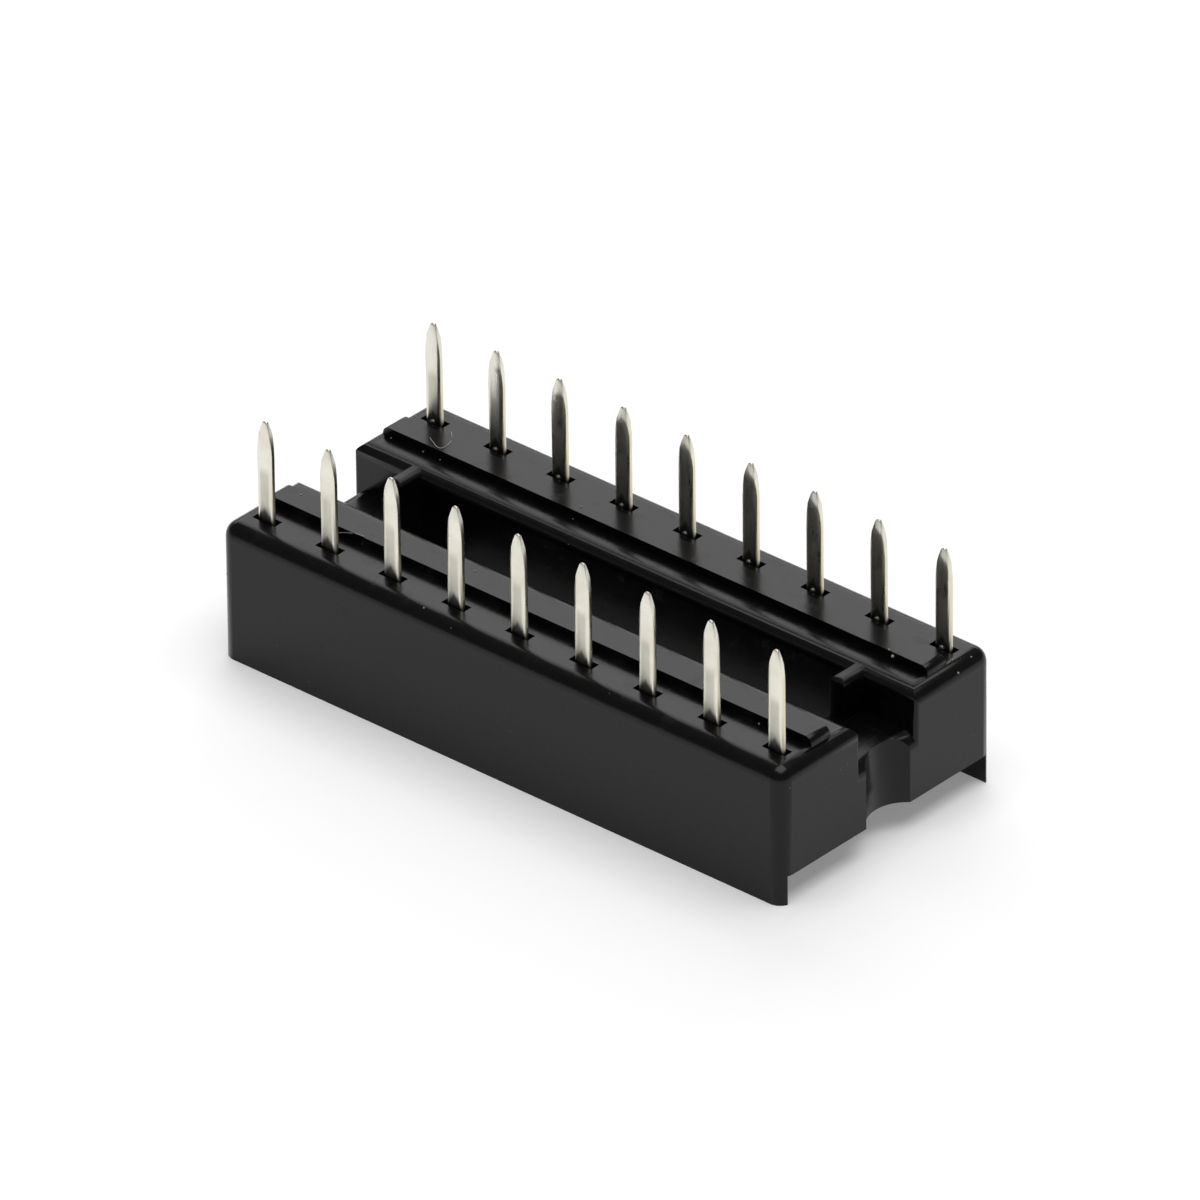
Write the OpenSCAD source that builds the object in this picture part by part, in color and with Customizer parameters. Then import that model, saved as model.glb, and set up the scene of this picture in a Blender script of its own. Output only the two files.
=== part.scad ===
/* [Contacts and grid] */
// Contacts in each of the two rows
row_contacts = 9; // [2:1:20]
// Distance between neighbouring contacts in a row
pitch = 2.54; // [2:0.01:4]
// Distance between the two rows of contacts
row_spacing = 7.62; // [7:0.01:16]

/* [Housing] */
// From the last contact of a row to the end of the housing
end_margin = 1.06; // [1:0.01:3]
// From a row of contacts to the outer long side
side_margin = 1.02; // [0.9:0.01:2]
// Width of each long rail, from the window to the outer side
rail_w = 3.56; // [3.3:0.01:3.8]
// Height of the housing from the lips to the ledge that the tails come out of
body_h = 4.7; // [4.4:0.1:8]
// Height of the lips below the mating face
lip_h = 1.0; // [0.4:0.1:1.2]
// Thickness of the outer long walls and of the lips that continue them
wall_t = 0.3; // [0.2:0.05:0.5]

/* [Stand-off ribs] */
// Height of the ribs that keep the housing off the board
rib_h = 0.3; // [0.15:0.05:1]
// Width of each rib
rib_w = 0.85; // [0.4:0.05:0.9]
// From the window to the inner side of a rib
rib_inset = 0.95; // [0.9:0.05:1.2]
// From the end of the housing to the end of a rib
rib_end = 0.35; // [0.2:0.05:2]
// Rounding of the upper ends of the ribs
rib_r = 0.25; // [0.05:0.05:0.35]

/* [Rounding] */
// Rounding of the outer upper edges and the outer upright corners, which meet in a ball
edge_r = 0.5; // [0.1:0.05:0.6]
// Rounding of the long edges along the window
window_r = 0.45; // [0.1:0.05:0.6]
// Rounding of the upright corners beside the gap between the ends of the rails
gap_r = 0.15; // [0.05:0.05:0.3]

/* [End bridges] */
// From the ledge down to the top of the bridges that join the rails
bridge_drop = 1.45; // [1:0.05:2]
// Rounding of the outer upper edge of each bridge
bridge_r = 0.5; // [0.1:0.05:0.5]
// From the ends of the rails to the window, along the row
bridge_l = 2.65; // [1.5:0.05:3.5]
// From the plain end of the rails back to the face of the bridge there
plain_setback = 0.2; // [0:0.05:0.5]
// Radius of the notch that marks the first contact
notch_r = 1.25; // [0.6:0.05:1.5]
// Depth of that notch
notch_depth = 0.5; // [0.3:0.05:0.6]
// Thickness of the short web that stands on each bridge beside the window
web_t = 0.55; // [0.4:0.05:0.8]
// Reach of each web from the rail into the gap between the rails
web_reach = 0.85; // [0.6:0.05:1.3]
// From the ledge down to the top of the webs
web_drop = 0.05; // [0.05:0.05:0.8]
// Rounding of the upper edges of the webs
web_r = 0.2; // [0.05:0.05:0.2]

/* [Contact chambers] */
// Wall left between neighbouring chambers
partition_t = 1.1; // [0.6:0.05:1.2]
// Plastic between a chamber and the ledge
roof_t = 0.5; // [0.3:0.05:1]
// Length of the slot that lets a tail out, along the row
slot_l = 0.9; // [0.8:0.05:1.2]
// Width of that slot
slot_w = 0.36; // [0.3:0.02:0.8]
// Lead-in around each chamber at the mating face
lead_in = 0.2; // [0.05:0.05:0.25]

/* [Stamped contacts] */
// Thickness of the sheet
sheet_t = 0.2; // [0.1:0.02:0.26]
// Width of a tail
tail_w = 0.58; // [0.4:0.02:0.7]
// Length of a tail above the ledge
tail_out = 3.45; // [2:0.05:6]
// Length of the tapered point of a tail
point_l = 1.2; // [0.4:0.05:1.5]
// Rounding of the very tip, seen on the broad face
tip_r = 0.1; // [0.04:0.01:0.16]
// Length over which the sheet gets thinner towards the tip
thin_l = 0.8; // [0.3:0.05:1.5]
// Rounding of the very tip, seen on the narrow side
thin_r = 0.04; // [0.02:0.01:0.08]
// Width of the coined bevels along the upright edges of a tail, on the broad faces
coin_w = 0.12; // [0.04:0.02:0.18]
// Depth of those bevels, on the narrow sides
coin_d = 0.04; // [0.02:0.01:0.08]
// Play between a contact and the walls of its chamber
play = 0.06; // [0.02:0.01:0.15]
// Gap between the two leaves where they grip
grip_gap = 0.12; // [0.05:0.01:0.25]
// Height above the mating face at which the leaves grip
grip_h = 1.1; // [0.8:0.05:1.5]
// Height above the mating face at which the leaves start to close
bend_h = 2.3; // [1.8:0.05:2.4]
// From the mating face up to the free ends of the leaves
leaf_end_h = 0.25; // [0.1:0.05:0.5]

/* [Hidden] */
$fn = 48;
point_facets = 96;
slack = 1;

contact_count = 2 * row_contacts;

housing_colour = [0.09, 0.09, 0.1];
tin_colour = [0.82, 0.8, 0.74];

// Plan: x along the rows, y across them, both measured from the middle
body_l = (row_contacts - 1) * pitch + 2 * end_margin;
body_w = row_spacing + 2 * side_margin;
x_end = body_l / 2;
y_out = body_w / 2;
y_in = y_out - rail_w;
y_row = row_spacing / 2;

// Heights: the lips stand on z = 0
z_mate = lip_h;
z_ledge = body_h;
z_bridge = body_h - bridge_drop;
z_web = body_h - web_drop;
z_roof = body_h - roof_t;
z_tip = body_h + tail_out;

// Rib between y_rib and y_rib + rib_w
y_rib = y_in + rib_inset;

// Chambers: centred on the row, with the outer wall and the lip flush
chamber_l = pitch - partition_t;
chamber_w = 2 * (side_margin - wall_t);

// Leaves: their middle line lies this far from the middle of the contact
leaf_w = chamber_l - 2 * play;
leaf_y = chamber_w / 2 - play - sheet_t / 2;
grip_y = (grip_gap + sheet_t) / 2;
flare_y = (leaf_y + grip_y) / 2;
z_base = z_roof - sheet_t / 2;

// Turns a drawing in (y, z) into a solid that runs along x from x0 to x1
module along_x(x0, x1) {
    translate([x0, 0, 0])
        rotate([90, 0, 90])
            linear_extrude(x1 - x0) children();
}

// Turns a drawing in (x, z) into a solid that runs along y from y0 to y1
module along_y(y0, y1) {
    translate([0, y1, 0])
        rotate([90, 0, 0])
            linear_extrude(y1 - y0) children();
}

// Box between two opposite corners
module box(low, high) {
    translate(low) cube(high - low);
}

// Rectangle with its two upper corners rounded, each by its own radius
module round_top(x0, x1, z0, z1, r0, r1) {
    translate([x0, z0]) square([x1 - x0, z1 - max(r0, r1) - z0]);
    translate([x0 + r0, z0]) square([x1 - r1 - x0 - r0, z1 - z0]);
    translate([x0, z0]) square([r0, z1 - r0 - z0]);
    translate([x1 - r1, z0]) square([r1, z1 - r1 - z0]);
    translate([x0 + r0, z1 - r0]) circle(r0);
    translate([x1 - r1, z1 - r1]) circle(r1);
}

// Rectangle with all four corners rounded
module round_rect(x0, x1, y0, y1, r) {
    translate([x0 + r, y0]) square([x1 - x0 - 2 * r, y1 - y0]);
    translate([x0, y0 + r]) square([x1 - x0, y1 - y0 - 2 * r]);
    for (x = [x0 + r, x1 - r])
        for (y = [y0 + r, y1 - r])
            translate([x, y]) circle(r);
}

// Section of the rail on the +y side, rounded along the window only: body, and the lip below it
module rail_section() {
    translate([y_in, z_mate]) square([rail_w, z_ledge - window_r - z_mate]);
    translate([y_in + window_r, z_mate]) square([rail_w - window_r, z_ledge - z_mate]);
    translate([y_in + window_r, z_ledge - window_r]) circle(window_r);
    translate([y_out - wall_t, 0]) square([wall_t, z_mate + slack]);
}

// Block round the rail on the +y side, with its outer upper edges and outer corners rounded
module rail_block() {
    x = x_end - edge_r;
    y = y_out - edge_r;
    z = z_ledge - edge_r;
    linear_extrude(z) {
        translate([-x_end, y_in]) square([2 * x_end, y - y_in]);
        translate([-x, y_in]) square([2 * x, rail_w]);
        for (side = [-x, x]) translate([side, y]) circle(edge_r);
    }
    along_y(y_in, y) round_top(-x_end, x_end, 0, z_ledge, edge_r, edge_r);
    along_x(-x, x) {
        translate([y_in, 0]) square([y - y_in, z_ledge]);
        translate([y, z]) circle(edge_r);
    }
    for (side = [-x, x]) translate([side, y, z]) sphere(edge_r);
}

// One long rail, and the rib on its ledge
module rail() {
    intersection() {
        rail_block();
        along_x(-x_end, x_end) rail_section();
        linear_extrude(z_ledge) round_rect(-x_end, x_end, y_in, y_out + gap_r, gap_r);
    }
    along_y(y_rib, y_rib + rib_w)
        round_top(rib_end - x_end, x_end - rib_end, z_ledge - edge_r, z_ledge + rib_h, rib_r, rib_r);
}

// Low bridge at the +x end, let into both rails by the rounding of their corners beside the gap
module bridge(setback) {
    x0 = x_end - bridge_l;
    x1 = x_end - setback;
    along_y(-y_in - gap_r, y_in + gap_r) {
        translate([x0, z_mate]) square([x1 - x0, z_bridge - bridge_r - z_mate]);
        translate([x0, z_mate]) square([x1 - bridge_r - x0, z_bridge - z_mate]);
        translate([x1 - bridge_r, z_bridge - bridge_r]) circle(bridge_r);
    }
}

// Short web on the +x bridge beside the window: springs from the +y rail, upper edges rounded
module web() {
    x0 = x_end - bridge_l;
    x1 = x0 + web_t;
    y0 = y_in - web_reach;
    intersection() {
        along_x(x0, x1) round_top(y0, y_rib + web_r, z_mate, z_web, web_r, web_r);
        along_y(y0, y_rib) round_top(x0, x1, z_mate, z_web, web_r, web_r);
    }
}

// Concave notch in the end face of the bridge that marks the first contact
module notch() {
    translate([x_end - notch_depth + notch_r, 0, z_mate - slack])
        cylinder(h = z_bridge - z_mate + 2 * slack, r = notch_r);
}

// Chamber for one contact, open at the mating face, with the slot for its tail
module chamber() {
    half_l = chamber_l / 2;
    half_w = chamber_w / 2;
    box([-half_l, -half_w, z_mate - slack], [half_l, half_w, z_roof]);
    box([-slot_l / 2, -slot_w / 2, z_roof - slack], [slot_l / 2, slot_w / 2, z_ledge + slack]);
    intersection() {
        along_y(-half_w - lead_in, half_w)
            polygon([
                [-half_l - 2 * lead_in, z_mate - lead_in],
                [half_l + 2 * lead_in, z_mate - lead_in],
                [half_l, z_mate + lead_in],
                [-half_l, z_mate + lead_in]
            ]);
        along_x(-half_l - 2 * lead_in, half_l + 2 * lead_in)
            polygon([
                [-half_w - 2 * lead_in, z_mate - lead_in],
                [half_w, z_mate - lead_in],
                [half_w, z_mate + lead_in],
                [-half_w, z_mate + lead_in]
            ]);
    }
}

// Puts a child at the place of contact i: 0 to row_contacts - 1 in the -y row, the rest in the
// +y row, each with its inner side towards the window
module at_contact(i) {
    far = i >= row_contacts;
    k = far ? i - row_contacts : i;
    x = (k - (row_contacts - 1) / 2) * pitch;
    translate([far ? -x : x, far ? y_row : -y_row, 0])
        rotate([0, 0, far ? 0 : 180]) children();
}

// Black moulded body: two rails, two bridges, and a chamber for each contact
module housing() {
    color(housing_colour)
        difference() {
            union() {
                rail();
                rotate([0, 0, 180]) rail();
                difference() {
                    bridge(0);
                    notch();
                }
                web();
                mirror([1, 0, 0]) {
                    bridge(plain_setback);
                    web();
                }
            }
            for (i = [0 : contact_count - 1]) at_contact(i) chamber();
        }
}

// Bent strip of sheet that follows a list of points in (y, z)
module strip(points) {
    for (k = [1 : len(points) - 1]) {
        run = points[k] - points[k - 1];
        translate(points[k - 1])
            rotate(atan2(run[1], run[0]))
                translate([0, -sheet_t / 2]) square([norm(run), sheet_t]);
    }
    for (p = points) translate(p) circle(sheet_t / 2);
}

// Outline of a tail from one side: straight edges up to the point, then two arcs that leave them
// without a corner and run into a round tip
module pointed(half, length, r) {
    z_start = z_tip - length;
    arc_r = (length * length + half * half - 2 * length * r) / (2 * (half - r));
    z_meet = z_tip - r + r * (length - r) / (arc_r - r);
    translate([-half, z_base]) square([2 * half, z_start - z_base]);
    intersection() {
        translate([arc_r - half, z_start]) circle(arc_r, $fn = point_facets);
        translate([half - arc_r, z_start]) circle(arc_r, $fn = point_facets);
        translate([-half, z_start]) square([2 * half, z_meet - z_start]);
    }
    translate([0, z_tip - r]) circle(r);
}

// Section of a tail in (x, y), with its four edges coined
module tail_section() {
    a = tail_w / 2;
    b = sheet_t / 2;
    polygon([
        [-a, coin_d - b], [coin_w - a, -b], [a - coin_w, -b], [a, coin_d - b],
        [a, b - coin_d], [a - coin_w, b], [coin_w - a, b], [-a, b - coin_d]
    ]);
}

// Tinned contact stamped from one sheet: tail, base, and two leaves that grip a leg between them
module contact() {
    color(tin_colour) {
        intersection() {
            along_y(-sheet_t, sheet_t) pointed(tail_w / 2, point_l, tip_r);
            along_x(-tail_w, tail_w) pointed(sheet_t / 2, thin_l, thin_r);
            translate([0, 0, z_base]) linear_extrude(z_tip - z_base) tail_section();
        }
        for (side = [-1, 1])
            along_x(-leaf_w / 2, leaf_w / 2)
                strip([
                    [0, z_base],
                    [side * leaf_y, z_base],
                    [side * leaf_y, z_mate + bend_h],
                    [side * grip_y, z_mate + grip_h],
                    [side * flare_y, z_mate + leaf_end_h]
                ]);
    }
}

housing();
for (i = [0 : contact_count - 1])
    at_contact(i) contact();
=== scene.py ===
# %% [markdown]
# # A chip socket, pins up
#
# The object is a small black moulded socket for a chip, lying upside down: it rests on two thin lips,
# and eighteen flat, tinned tails stand up out of it. The imported model already has the exact pieces, one
# housing and eighteen contacts. Blender's share is what the eye reads: soft edges, the sheen of moulded
# plastic, the plated metal with its raw cut edges, and a little dust. First the frame is loaded.

# %% Load the frame
import math
import random

import bmesh
import bpy
from mathutils import Matrix, Vector
from mathutils.bvhtree import BVHTree


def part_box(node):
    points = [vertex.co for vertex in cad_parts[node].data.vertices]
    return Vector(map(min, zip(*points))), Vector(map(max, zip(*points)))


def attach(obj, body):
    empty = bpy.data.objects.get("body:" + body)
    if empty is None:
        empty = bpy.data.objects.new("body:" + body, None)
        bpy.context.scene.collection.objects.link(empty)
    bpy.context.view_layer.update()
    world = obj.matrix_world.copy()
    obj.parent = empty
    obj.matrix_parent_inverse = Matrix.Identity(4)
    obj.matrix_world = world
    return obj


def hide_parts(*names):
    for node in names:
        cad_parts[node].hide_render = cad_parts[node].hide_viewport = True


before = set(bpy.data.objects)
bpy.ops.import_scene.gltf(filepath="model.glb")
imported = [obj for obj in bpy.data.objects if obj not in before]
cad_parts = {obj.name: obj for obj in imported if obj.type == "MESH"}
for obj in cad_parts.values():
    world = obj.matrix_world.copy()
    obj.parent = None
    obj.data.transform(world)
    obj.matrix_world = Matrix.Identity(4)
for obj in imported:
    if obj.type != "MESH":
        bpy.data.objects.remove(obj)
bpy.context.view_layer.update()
MM = 0.001
print("pieces in the frame:", len(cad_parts))

# %% [markdown]
# ## Sizes taken from the frame
#
# The contacts tell the whole plan: the middle of each contact's box is its place in its row. Working the
# sizes out from the boxes, and not typing them again, keeps this script true when the part changes.

# %% Measure the rows, the ledge and the ribs
contact_names = sorted(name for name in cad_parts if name.startswith("contact_"))


def middle(name):
    low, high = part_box(name)
    return (low + high) / 2


pitch = (middle(contact_names[1]) - middle(contact_names[0])).length
row_y = middle(contact_names[-1]).y
first_x = middle(contact_names[0]).x
housing_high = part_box("housing")[1]
RIB_HEIGHT = 0.3 * MM
SHEET = 0.2 * MM
ledge_z = housing_high.z - RIB_HEIGHT
print("pitch", round(pitch / MM, 3), "mm, rows at", round(row_y / MM, 3), "mm")
print("ledge at", round(ledge_z / MM, 3), "mm")

# %% [markdown]
# ## The camera
#
# The photograph was taken with a long lens, because the long edges hardly converge. Such a view is easiest
# to describe from the object: the direction that it is seen from, the distance, and the point that the lens
# is aimed at. The lens is then as long as the picture's scale asks for. A very small roll finishes it.

# %% Place the camera
AZIMUTH = math.radians(41.598)
ELEVATION = math.radians(31.241)
ROLL = math.radians(-0.618)
DISTANCE = 664.8 * MM
SCALE = 33.347 / MM
IMAGE = 1200
SENSOR = 36.0
OPTICAL_CENTRE = Vector((604.05, 582.98))


def view_axes():
    """Right, up and back of the camera, with its roll."""
    flat = math.cos(ELEVATION)
    back = Vector((math.sin(AZIMUTH) * flat, -math.cos(AZIMUTH) * flat, math.sin(ELEVATION)))
    right = Vector((math.cos(AZIMUTH), math.sin(AZIMUTH), 0))
    up = back.cross(right)
    rolled_right = math.cos(ROLL) * right + math.sin(ROLL) * up
    rolled_up = math.cos(ROLL) * up - math.sin(ROLL) * right
    return rolled_right, rolled_up, back


def make_camera():
    right, up, back = view_axes()
    data = bpy.data.cameras.new("photo_camera")
    data.sensor_width = SENSOR
    data.lens = SCALE * DISTANCE / IMAGE * SENSOR
    data.clip_start = DISTANCE / 10
    data.clip_end = DISTANCE * 10
    off_centre = (Vector((IMAGE / 2, IMAGE / 2)) - OPTICAL_CENTRE) / SCALE
    camera = bpy.data.objects.new("photo_camera", data)
    place = Vector((0, 0, ledge_z)) + right * off_centre.x - up * off_centre.y + back * DISTANCE
    turn = Matrix((right, up, back)).transposed().to_4x4()
    camera.matrix_world = Matrix.Translation(place) @ turn
    bpy.context.scene.collection.objects.link(camera)
    bpy.context.scene.camera = camera
    return camera


camera = make_camera()
print("lens", round(camera.data.lens), "mm")

# %% [markdown]
# ## Shader arithmetic
#
# A finish is a formula over the surface: a mottle plus some specks, clipped and scaled. Node by node such a
# formula is hard to read, so a small class wraps a socket and lets Python's operators add the Math nodes.
# Every other node comes from one method, which takes its type, its settings and the values of its sockets.

# %% A socket that can be reckoned with
class Signal:
    """A number that varies over the surface."""

    def __init__(self, finish, socket):
        self.finish = finish
        self.socket = socket

    def reckon(self, operation, *values):
        node = self.finish.add("ShaderNodeMath", dict(enumerate(values)), operation=operation)
        return Signal(self.finish, node.outputs[0])

    def __add__(self, other):
        return self.reckon("ADD", self, other)

    def __sub__(self, other):
        return self.reckon("SUBTRACT", self, other)

    def __rsub__(self, other):
        return self.reckon("SUBTRACT", other, self)

    def __mul__(self, other):
        return self.reckon("MULTIPLY", self, other)

    __radd__ = __add__
    __rmul__ = __mul__

    def above(self, edge, blur):
        """1 where the signal is well above the edge, 0 well below it, smooth between."""
        node = self.finish.add(
            "ShaderNodeMapRange",
            {"Value": self, "From Min": edge - blur, "From Max": edge + blur},
            interpolation_type="SMOOTHSTEP",
        )
        return Signal(self.finish, node.outputs["Result"])

    def below(self, edge, blur):
        return 1 - self.above(edge, blur)


class Finish:
    """A material with one Principled shader, whose patterns are measured in millimetres on the object."""

    def __init__(self, name):
        self.material = bpy.data.materials.new(name)
        self.material.use_nodes = True
        self.tree = self.material.node_tree
        self.shader = self.tree.nodes["Principled BSDF"]
        place = self.add("ShaderNodeTexCoord").outputs["Object"]
        in_mm = {0: place, "Scale": 1 / MM}
        self.place = self.add("ShaderNodeVectorMath", in_mm, operation="SCALE").outputs[0]

    def add(self, kind, values=None, **settings):
        """A new node of that type, with its settings and the values of its sockets."""
        node = self.tree.nodes.new(kind)
        for key, setting in settings.items():
            setattr(node, key, setting)
        for key, value in (values or {}).items():
            self.feed(node.inputs[key], value)
        return node

    def feed(self, socket, value):
        """Links a signal or an output to the socket, or writes a plain value on it."""
        source = value.socket if isinstance(value, Signal) else value
        if isinstance(source, bpy.types.NodeSocket):
            self.tree.links.new(source, socket)
        else:
            socket.default_value = source

    def axis(self, index):
        """The place along x, y or z in millimetres."""
        node = self.add("ShaderNodeSeparateXYZ", {"Vector": self.place})
        return Signal(self, node.outputs[index])

    def noise(self, scale, detail=2.0, place=None):
        """Cloudy pattern about the middle value 0.5, with so many cells to the millimetre."""
        values = {"Vector": place or self.place, "Scale": scale, "Detail": detail}
        return Signal(self, self.add("ShaderNodeTexNoise", values).outputs[0])

    def stretched(self, x, y, z):
        """The place on the object, stretched: a small factor makes long streaks along that axis."""
        values = {0: self.place, 1: (x, y, z)}
        return self.add("ShaderNodeVectorMath", values, operation="MULTIPLY").outputs[0]

    def blend(self, factor, low, high):
        """A colour between two others."""
        node = self.add("ShaderNodeMix", data_type="RGBA")
        self.feed(node.inputs["Factor"], factor)
        for socket, value in zip([s for s in node.inputs if s.type == "RGBA"], (low, high)):
            self.feed(socket, value)
        return next(s for s in node.outputs if s.type == "RGBA")

    def relief(self, height, depth):
        """Bumps of that depth in millimetres where the height signal is 1."""
        node = self.add("ShaderNodeBump", {"Height": height, "Distance": depth * MM, "Strength": 1.0})
        self.feed(self.shader.inputs["Normal"], node.outputs["Normal"])

    def dress(self, **sockets):
        for key, value in sockets.items():
            self.feed(self.shader.inputs[key.replace("_", " ")], value)


def grey(value):
    return (value, value, value, 1)


print("shader helpers are ready")

# %% [markdown]
# ## Moulded black plastic
#
# The housing is a glass-filled polyester. It is nearly black in itself, and what the eye sees is almost all
# reflection: pale grey at a glancing angle on the ledges, dark where the edges roll over. So the colour
# stays very low, and the care goes into the roughness and the skin. A fine grain from the spark-cut mould
# breaks the reflections up a little, slow waves follow the walls where the plastic shrank, and a few specks
# of dust lie on it. Specks come from a cell pattern: a small disc round each cell's centre, and only in
# the few cells whose random value is high.

# %% Black plastic
GRAIN_PER_MM = 9.0
WAVES_PER_MM = 0.55
MOTTLE_PER_MM = 2.2
SMUDGES_PER_MM = 1.6
SPECKS_PER_MM = 1.6
SPECK_SIZE = 0.022
SPECK_SHARE = 0.3
SPECK_COLOUR = (0.12, 0.115, 0.11, 1)
BLACKS = ((0.0016, 0.0015, 0.0017, 1), (0.0026, 0.0025, 0.0028, 1))
PLASTIC_IOR = 1.34
PLASTIC_RELIEF = 0.004


def specks(finish, per_mm, size, share):
    """1 inside a few small discs scattered over the surface."""
    cells = finish.add("ShaderNodeTexVoronoi", {"Vector": finish.place, "Scale": per_mm, "Randomness": 1.0})
    lot = finish.add("ShaderNodeSeparateColor", {"Color": cells.outputs["Color"]})
    disc = Signal(finish, cells.outputs["Distance"]).below(size * per_mm, size * per_mm / 4)
    return disc * Signal(finish, lot.outputs[0]).above(1 - share, 0.01)


def black_plastic():
    finish = Finish("moulded_black")
    grain = finish.noise(GRAIN_PER_MM, 3.0)
    waves = finish.noise(WAVES_PER_MM, 1.0)
    mottle = finish.noise(MOTTLE_PER_MM, 4.0)
    smudge = finish.noise(SMUDGES_PER_MM, 3.0).above(0.62, 0.08)
    dust = specks(finish, SPECKS_PER_MM, SPECK_SIZE, SPECK_SHARE)
    body = finish.blend(mottle, *BLACKS)
    finish.dress(
        Base_Color=finish.blend(dust, body, SPECK_COLOUR),
        Roughness=0.15 + 0.09 * mottle + 0.04 * grain + 0.08 * smudge + 0.4 * dust,
        IOR=PLASTIC_IOR,
    )
    finish.relief(0.5 * grain + 0.4 * waves, PLASTIC_RELIEF)
    return finish.material


plastic = black_plastic()
print(plastic.name, "nodes:", len(plastic.node_tree.nodes))

# %% [markdown]
# ## Tinned contacts with raw cut edges
#
# A contact is stamped out of a plated strip. Its two broad faces keep the pale tin, a little streaky along
# the tail, while the narrow edges were cut through and are a shade yellower. Both belong to one piece of
# metal, so one material holds both, and a mask says where the cut edges are: near the left and right side
# of each tail. The tails repeat at the pitch, so the mask folds the x axis onto one pitch with a single
# ping-pong node and works for all of them. Two more masks follow: the middle of the lower half is rubbed
# duller, so that the metal looks used, and the foot is darkened with painted shade, highest in the middle.

# %% Tin
CUT_EDGE = 0.275
STREAKS_PER_MM = 6.0
STREAK_STRETCH = (2.0, 2.0, 0.25)
TARNISH_PER_MM = 1.3
WORN_HALF_WIDTH = 0.17
WORN_HEIGHT = 1.75
# painted shade at the foot of each tail: how high it reaches, and how it rises towards the middle
FOOT_SHADE_HEIGHT = 0.44
FOOT_SHADE_SLOPE = 1.3
TINS = ((0.81, 0.79, 0.70, 1), (0.72, 0.69, 0.59, 1))
WORN_COLOUR = (0.50, 0.48, 0.41, 1)
CUT_COLOUR = (0.74, 0.68, 0.52, 1)
# the dark grey of the painted shade at the foot
FOOT_SHADE_COLOUR = (0.13, 0.12, 0.11, 1)
TIN_RELIEF = 0.004


def tinned_metal():
    finish = Finish("tin_plate")
    across = finish.axis(0) - first_x / MM
    aside = across.reckon("PINGPONG", across, pitch / MM / 2)
    height = finish.axis(2) - ledge_z / MM
    cut = aside.above(CUT_EDGE, 0.01)
    worn = aside.below(WORN_HALF_WIDTH, 0.05) * height.below(WORN_HEIGHT, 0.2)
    # painted shade: the foot of each tail turns dark grey, reaching highest in its middle
    foot_shade = (height + FOOT_SHADE_SLOPE * aside).below(FOOT_SHADE_HEIGHT, 0.12)
    streaks = finish.noise(STREAKS_PER_MM, 3.0, finish.stretched(*STREAK_STRETCH))
    tarnish = finish.noise(TARNISH_PER_MM, 3.0)
    tin = finish.blend(tarnish.above(0.55, 0.25), *TINS)
    tin = finish.blend(0.5 * worn + 0.25 * worn * streaks, tin, WORN_COLOUR)
    tin = finish.blend(cut, tin, CUT_COLOUR)
    finish.dress(
        # the painted shade at the foot is blended in last
        Base_Color=finish.blend(0.9 * foot_shade, tin, FOOT_SHADE_COLOUR),
        Metallic=1.0,
        Roughness=0.17 + 0.16 * streaks + 0.10 * tarnish + 0.1 * worn,
    )
    finish.relief(streaks + 0.6 * tarnish, TIN_RELIEF)
    return finish.material


tin = tinned_metal()
print(tin.name, "nodes:", len(tin.node_tree.nodes))

# %% [markdown]
# ## Soft edges on the housing and the contacts
#
# A moulded or stamped edge is never perfectly sharp, and its thin highlight is what makes a small object
# look real. The frame's own meshes must stay as they are, so each node is copied. The copy's loose
# triangles are merged and its flat faces are joined up again, and then every edge that is really sharp gets
# a narrow bevel. The facets of the large roundings meet at small angles, so an angle limit leaves them out,
# and smooth shading with weighted normals makes them round while flat faces stay flat.

# %% Copy a node and bevel its sharp edges
SHARP = math.radians(38)
FLAT = math.radians(0.2)
WELD = 0.0005 * MM


def opened(node):
    """The node's mesh in a bmesh, with its doubles merged and its flat faces joined."""
    bm = bmesh.new()
    bm.from_mesh(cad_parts[node].data)
    bmesh.ops.remove_doubles(bm, verts=bm.verts, dist=WELD)
    bmesh.ops.dissolve_limit(bm, angle_limit=FLAT, verts=bm.verts, edges=bm.edges)
    return bm


def soften(bm, width, segments):
    """Bevels the edges that are really sharp."""
    sharp = [edge for edge in bm.edges if len(edge.link_faces) == 2 and edge.calc_face_angle() > SHARP]
    bmesh.ops.bevel(
        bm, geom=sharp, offset=width, offset_type="OFFSET", affect="EDGES", segments=segments,
        profile=0.5, material=-1, clamp_overlap=True,
    )


def made_piece(bm, name, material):
    """A smooth shaded object from a bmesh, riding on the body, with its finish."""
    mesh = bpy.data.meshes.new(name)
    bm.to_mesh(mesh)
    bm.free()
    mesh.materials.clear()
    mesh.materials.append(material)
    for polygon in mesh.polygons:
        polygon.use_smooth = True
        polygon.material_index = 0
    piece = bpy.data.objects.new(name, mesh)
    bpy.context.scene.collection.objects.link(piece)
    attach(piece, "root")
    return piece


def even_normals(piece):
    """Lets the large face set the normals, so that it stays flat and the narrow ones blend between."""
    weighted = piece.modifiers.new("weighted", "WEIGHTED_NORMAL")
    weighted.weight = 100


HOUSING_EDGE = 0.05 * MM
housing_mesh = opened("housing")
soften(housing_mesh, HOUSING_EDGE, 2)
housing = made_piece(housing_mesh, "housing_moulding", plastic)
even_normals(housing)
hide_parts("housing")
print("housing faces:", len(housing.data.polygons))

# %% [markdown]
# ## Dimples, and tails that aren't quite straight
#
# Low on each tail, on the face towards the window, the press raised a small dimple that wedges the tail in
# its slot. It is a tiny ball, half sunk in the sheet, and it catches the lamp as a bright dot. The tails
# also lean a little to either side, each by its own amount, as they do after years in a drawer. A lean is
# a shear: the higher a point lies above the ledge, the further it moves, so the foot stays in its slot. A
# seeded random source gives the same leans on each run.

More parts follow.
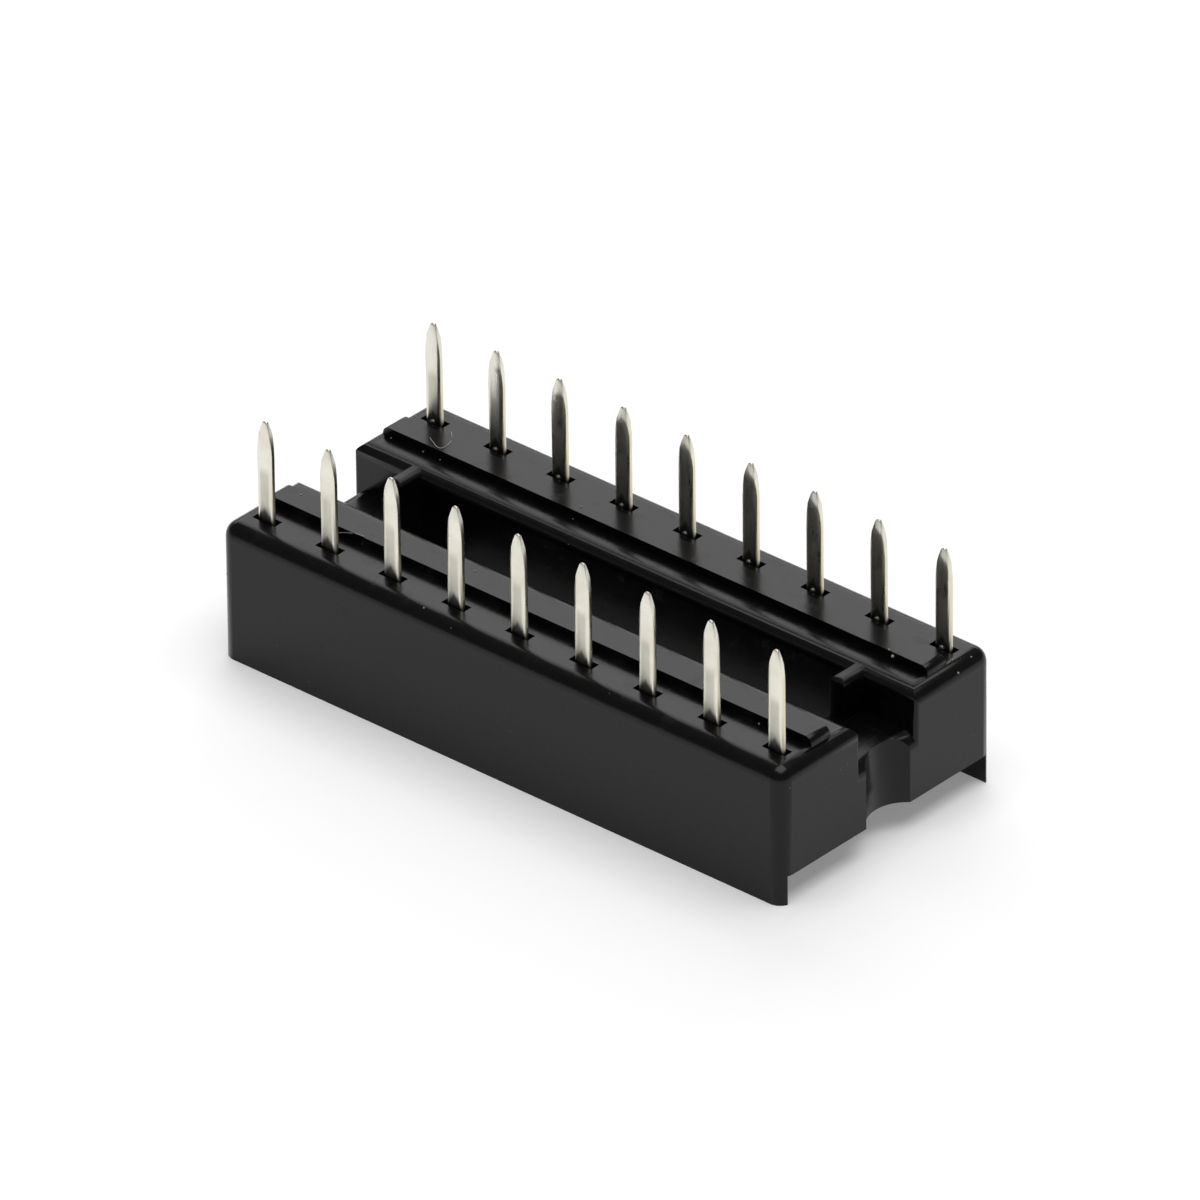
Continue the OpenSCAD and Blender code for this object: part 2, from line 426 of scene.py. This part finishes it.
# %% Contacts
CONTACT_EDGE = 0.014 * MM
DIMPLE_RADIUS = 0.1 * MM
DIMPLE_LIFT = 0.02 * MM
LARGEST_LEAN = 0.008
leans = random.Random(9)


def stamped_contact(node):
    bm = opened(node)
    soften(bm, CONTACT_EDGE, 1)
    place = middle(node)
    inward = -1 if place.y > 0 else 1
    dimple = Vector((place.x, place.y + inward * SHEET / 2, ledge_z + DIMPLE_LIFT))
    bmesh.ops.create_uvsphere(
        bm, u_segments=14, v_segments=9, radius=DIMPLE_RADIUS, matrix=Matrix.Translation(dimple)
    )
    lean = leans.uniform(-LARGEST_LEAN, LARGEST_LEAN)
    for vert in bm.verts:
        vert.co.x += lean * max(vert.co.z - ledge_z, 0)
    contact = made_piece(bm, node + "_stamping", tin)
    even_normals(contact)
    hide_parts(node)
    return contact


contacts = [stamped_contact(name) for name in contact_names]
print("contacts:", len(contacts), "with", len(contacts[0].data.polygons), "faces each")

# %% [markdown]
# ## Dust and fibres
#
# The photograph shows a few crumbs and two fine fibres on the plastic. Each is placed by the pixel where it
# is seen: a ray from the camera through that pixel meets the housing, and the crumb is set on the surface
# there, so it touches the plastic from every side. A fibre follows a handful of such points, joined by a
# smooth curve that is given thickness and turned into a mesh.

# %% Crumbs
CRUMBS = [
    ((893, 656), 0.11), ((889, 650), 0.06), ((958, 673), 0.07), ((952, 660), 0.04), ((971, 657), 0.05),
    ((581, 507), 0.06), ((573, 519), 0.04), ((423, 452), 0.06), ((440, 460), 0.05), ((391, 438), 0.05),
    ((424, 608), 0.06), ((759, 724), 0.07), ((475, 571), 0.05), ((301, 495), 0.05), ((227, 574), 0.04),
]
CRUMB_LUMPS = (0.7, 1.15)
DUST_CLOUDS_PER_MM = 14.0
DUST_GREYS = ((0.20, 0.19, 0.18, 1), (0.50, 0.48, 0.45, 1))
surface = BVHTree.FromObject(housing, bpy.context.evaluated_depsgraph_get())


def seen_at(pixel):
    """The point of the housing behind a pixel of the photograph, and the surface's normal there."""
    right, up, back = view_axes()
    across = (pixel[0] - IMAGE / 2) / SCALE
    down = (pixel[1] - IMAGE / 2) / SCALE
    ray = right * across - up * down - back * DISTANCE
    place, normal, _, _ = surface.ray_cast(camera.matrix_world.translation, ray.normalized())
    return place, normal


def dust_finish():
    finish = Finish("dust")
    clouds = finish.noise(DUST_CLOUDS_PER_MM, 3.0)
    finish.dress(Base_Color=finish.blend(clouds, *DUST_GREYS), Roughness=0.9)
    return finish.material


def crumb(number, pixel, size):
    """A lumpy grain, a third of it sunk in the surface's skin."""
    place, normal = seen_at(pixel)
    lumps = random.Random(number)
    bm = bmesh.new()
    bmesh.ops.create_icosphere(bm, subdivisions=2, radius=size / 2 * MM)
    for vert in bm.verts:
        vert.co *= lumps.uniform(*CRUMB_LUMPS)
    bmesh.ops.translate(bm, vec=place + normal * (size / 6 * MM), verts=bm.verts)
    return made_piece(bm, f"crumb_{number:02d}", dust)


dust = dust_finish()
crumbs = [crumb(number, pixel, size) for number, (pixel, size) in enumerate(CRUMBS, 1)]
print("crumbs:", len(crumbs))

# %% Fibres
FIBRE_RADIUS = 0.012 * MM
FIBRES = {
    "hair": [(430, 438), (434, 444), (437, 448), (442, 449), (448, 446), (453, 439), (451, 432)],
    "lint": [(336, 533), (343, 532), (352, 533), (358, 534), (364, 537)],
}


def fibre(name, pixels):
    curve = bpy.data.curves.new(name, "CURVE")
    curve.dimensions = "3D"
    curve.bevel_depth = FIBRE_RADIUS
    curve.bevel_resolution = 1
    spline = curve.splines.new("NURBS")
    spline.points.add(len(pixels) - 1)
    spline.use_endpoint_u = True
    for point, pixel in zip(spline.points, pixels):
        place, normal = seen_at(pixel)
        point.co = (*(place + normal * FIBRE_RADIUS), 1)
    line = bpy.data.objects.new(name + "_curve", curve)
    bm = bmesh.new()
    bm.from_mesh(line.to_mesh())
    line.to_mesh_clear()
    bpy.data.objects.remove(line)
    return made_piece(bm, name, dust)


for name, pixels in FIBRES.items():
    print(name, "faces:", len(fibre(name, pixels).data.polygons))

# %% [markdown]
# ## The floor, the lamps and the world
#
# The socket lies on a white sheet that curves up at its rim. Two large soft lamps hang above it. The one at
# the back left is what the ledges mirror, which is why they look pale; the edges roll away from it, mirror
# the dim room in front and turn dark. The one overhead only fills, for no face mirrors it to the camera.
# The side walls mirror the sheet. To a camera ray or a mirror ray the sheet glows a little on top of the
# light that falls on it, so that it looks white, while the socket's shadow on it stays.

# %% Floor
FLOOR_RADIUS = 1.15
RIM_HEIGHT = 0.10
RIM_FOLD = 0.9
FLOOR_COLOUR = 0.82
FLOOR_GLOW = 0.22


def white_sheet():
    bm = bmesh.new()
    bmesh.ops.create_circle(bm, cap_ends=True, segments=96, radius=FLOOR_RADIUS)
    fold = [edge for edge in bm.edges if edge.is_boundary]
    raised = bmesh.ops.extrude_edge_only(bm, edges=fold)["geom"]
    upper = [item for item in raised if isinstance(item, bmesh.types.BMVert)]
    bmesh.ops.translate(bm, vec=(0, 0, RIM_HEIGHT), verts=upper)
    bmesh.ops.bevel(
        bm, geom=fold, offset=RIM_HEIGHT * RIM_FOLD, offset_type="OFFSET", affect="EDGES", segments=8,
        profile=0.5, material=-1,
    )
    mesh = bpy.data.meshes.new("sheet")
    bm.to_mesh(mesh)
    bm.free()
    for polygon in mesh.polygons:
        polygon.use_smooth = True
    finish = Finish("white_sheet")
    path = finish.add("ShaderNodeLightPath")
    seen = Signal(finish, path.outputs["Is Camera Ray"]) + Signal(finish, path.outputs["Is Glossy Ray"])
    seen = seen + Signal(finish, path.outputs["Is Transmission Ray"])
    finish.dress(
        Base_Color=grey(FLOOR_COLOUR),
        Roughness=0.9,
        Emission_Color=finish.blend(seen, grey(0), grey(FLOOR_GLOW)),
        Emission_Strength=1.0,
    )
    mesh.materials.append(finish.material)
    sheet = bpy.data.objects.new("sheet", mesh)
    bpy.context.scene.collection.objects.link(sheet)
    return sheet


print("sheet faces:", len(white_sheet().data.polygons))


# %% Lamps and world
LAMP_HEIGHT = 0.6
LAMPS = {
    "back_left_lamp": ((-1.56, 0.21), (-0.24, 1.92), 1.75),
    "overhead_lamp": ((-0.2, -0.3), (0.36, 0.34), 2.8),
}
ROOM_LIGHT = 0.18


def soft_lamp(name, low, high, radiance):
    """A flat lamp that looks straight down, between two corners in plan, and that bright when seen."""
    data = bpy.data.lights.new(name, "AREA")
    data.shape = "RECTANGLE"
    data.size = high[0] - low[0]
    data.size_y = high[1] - low[1]
    data.energy = radiance * math.pi * data.size * data.size_y
    lamp = bpy.data.objects.new(name, data)
    lamp.location = ((low[0] + high[0]) / 2, (low[1] + high[1]) / 2, LAMP_HEIGHT)
    bpy.context.scene.collection.objects.link(lamp)
    return lamp


for name, (low, high, radiance) in LAMPS.items():
    soft_lamp(name, low, high, radiance)
world = bpy.data.worlds.new("room")
world.use_nodes = True
world.node_tree.nodes["Background"].inputs["Color"].default_value = grey(ROOM_LIGHT)
bpy.context.scene.world = world
bpy.context.scene.view_settings.view_transform = "Standard"
